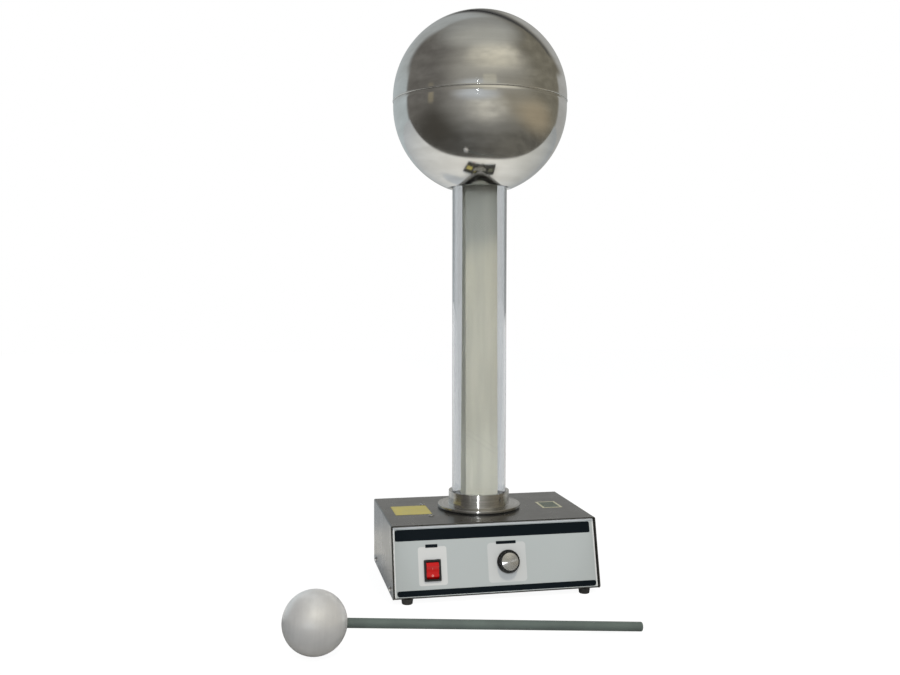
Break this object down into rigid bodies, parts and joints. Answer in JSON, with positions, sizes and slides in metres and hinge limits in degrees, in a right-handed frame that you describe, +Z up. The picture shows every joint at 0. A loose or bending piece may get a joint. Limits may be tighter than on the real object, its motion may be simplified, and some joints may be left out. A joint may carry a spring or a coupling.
{
  "type": "van de graaff generator",
  "caption": "Belt-charged electrostatic generator: hollow metal dome on a clear column over a sloping-front case with switch and speed knob, and a ball-ended discharge wand.",
  "frame": {"origin": "on the table under the column's axis, in the plane of the feet's undersides", "axes": "+Z up along the column, +X to the right along the front panel, +Y to the rear"},
  "size_m": [0.4586, 0.4539, 0.8513],
  "materials": {
    "case_paint": "semi-gloss powder coat",
    "overlay": "printed satin polyester",
    "black_plastic": "moulded",
    "red_plastic": "translucent moulded",
    "zinc_steel": "zinc plated",
    "chrome": "polished",
    "dome_metal": "spun and polished",
    "turned_metal": "turned",
    "brass": "plain",
    "copper": "sheet",
    "acrylic": "clear, slightly smoky",
    "belt": "woven face, matt",
    "nylon": "turned",
    "board": "solder mask",
    "parts": "moulded",
    "green_plastic": "moulded",
    "foot_rubber": "moulded",
    "motor_steel": "satin",
    "yellow_vinyl": "printed vinyl",
    "foil_vinyl": "metallised vinyl",
    "rod_plastic": "extruded"
  },
  "bodies": {
    "base": {"base_tray": "case_paint", "top_cover": "case_paint", "cover_screws": "chrome", "front_overlay": "overlay", "switch_housing": "black_plastic", "potentiometer": "zinc_steel", "potentiometer_nut": "zinc_steel", "control_board": "board", "board_parts": "parts", "heatsink": "turned_metal", "board_standoffs": "brass", "power_inlet": "black_plastic", "inlet_pins": "brass", "inlet_screws": "chrome", "earth_socket": "green_plastic", "rubber_feet": "foot_rubber", "foot_screws": "zinc_steel", "foot_nuts": "zinc_steel", "motor_bracket": "zinc_steel", "bracket_screws": "chrome", "motor_housing": "motor_steel", "motor_screws": "zinc_steel", "lower_bearings": "zinc_steel", "yoke_left": "turned_metal", "yoke_right": "turned_metal", "flange_screws": "zinc_steel", "flange_gasket": "foot_rubber", "column_flange": "chrome", "grub_screws": "zinc_steel", "column_tube": "acrylic", "belt": "belt", "comb_bracket": "zinc_steel", "lower_comb": "copper", "upper_yoke": "black_plastic", "upper_axle": "zinc_steel", "comb_bar": "brass", "upper_comb": "copper", "collector_strap": "brass", "neck_bush": "black_plastic", "neck_screws": "zinc_steel", "dome_lower": "dome_metal", "yellow_sticker": "yellow_vinyl", "small_sticker": "foil_vinyl"},
    "rocker": {"switch_rocker": "red_plastic"},
    "knob": {"control_shaft": "zinc_steel", "speed_knob": "black_plastic", "knob_cap": "turned_metal"},
    "drive": {"motor_shaft": "zinc_steel", "shaft_coupling": "turned_metal", "coupling_screws": "zinc_steel", "lower_axle": "zinc_steel", "lower_roller": "nylon"},
    "top_roller": {"upper_roller": "nylon", "upper_bearings": "zinc_steel"},
    "dome_top": {"dome_upper": "dome_metal"},
    "fuse_tray": {"fuse_drawer": "black_plastic"},
    "wand": {"wand_ball": "dome_metal", "wand_stud": "zinc_steel", "wand_nut": "chrome", "wand_rod": "rod_plastic"}
  },
  "joints": [
    {"name": "rocker_tilt", "type": "hinge", "parent": "base", "child": "rocker", "pos_m": [-0.093, -0.11136, 0.04342], "axis": [-1, 0, 0], "range_deg": [0, 22]},
    {"name": "knob_turn", "type": "hinge", "parent": "base", "child": "knob", "pos_m": [0.0165, -0.11259, 0.05047], "axis": [0, 0.9666, -0.2564], "range_deg": [0, 300]},
    {"name": "drive_spin", "type": "hinge", "parent": "base", "child": "drive", "pos_m": [0, 0, 0.056], "axis": [1, 0, 0], "continuous": true},
    {"name": "top_roller_spin", "type": "hinge", "parent": "base", "child": "top_roller", "pos_m": [0, 0, 0.666], "axis": [1, 0, 0], "continuous": true},
    {"name": "dome_lift", "type": "slide", "parent": "base", "child": "dome_top", "axis": [0, 0, 1], "range_m": [0, 0.16]},
    {"name": "fuse_drawer_slide", "type": "slide", "parent": "base", "child": "fuse_tray", "axis": [0, 1, 0], "range_m": [0, 0.022]},
    {"name": "wand_lift", "type": "slide", "parent": "base", "child": "wand", "axis": [0, 0, 1], "range_m": [0, 0.25]}
  ],
  "couplings": [
    {"joint": "top_roller_spin", "follows": "drive_spin", "ratio": 1.8491}
  ]
}
